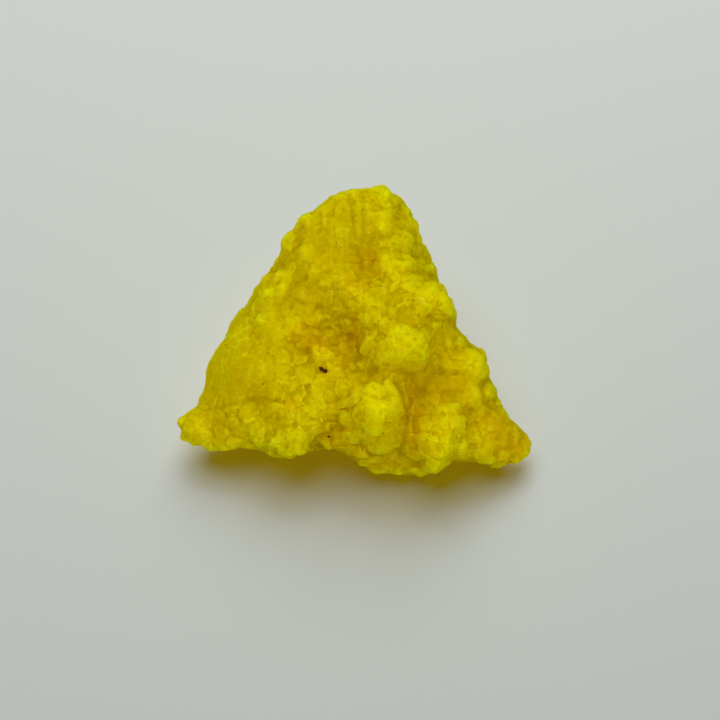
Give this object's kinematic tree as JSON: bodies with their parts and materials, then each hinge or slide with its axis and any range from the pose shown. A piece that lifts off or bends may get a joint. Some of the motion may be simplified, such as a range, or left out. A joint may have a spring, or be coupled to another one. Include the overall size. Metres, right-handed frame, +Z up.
{
  "type": "native sulfur crystal specimen",
  "caption": "Irregular three-cornered mass of intergrown sulfur crystals, raised to a blunt apex at the back, standing on the flat break where it came off its rock.",
  "frame": {"origin": "on the surface it stands on, under the centre of its bounding box", "axes": "+Z up, +X along its long front edge from the left tip to the tail, +Y from the front edge to the raised apex"},
  "size_m": [0.0561, 0.0432, 0.0286],
  "materials": {
    "sulfur": "resinous, slightly translucent"
  },
  "bodies": {
    "root": {"sulfur_crystal": "sulfur"}
  },
  "joints": []
}
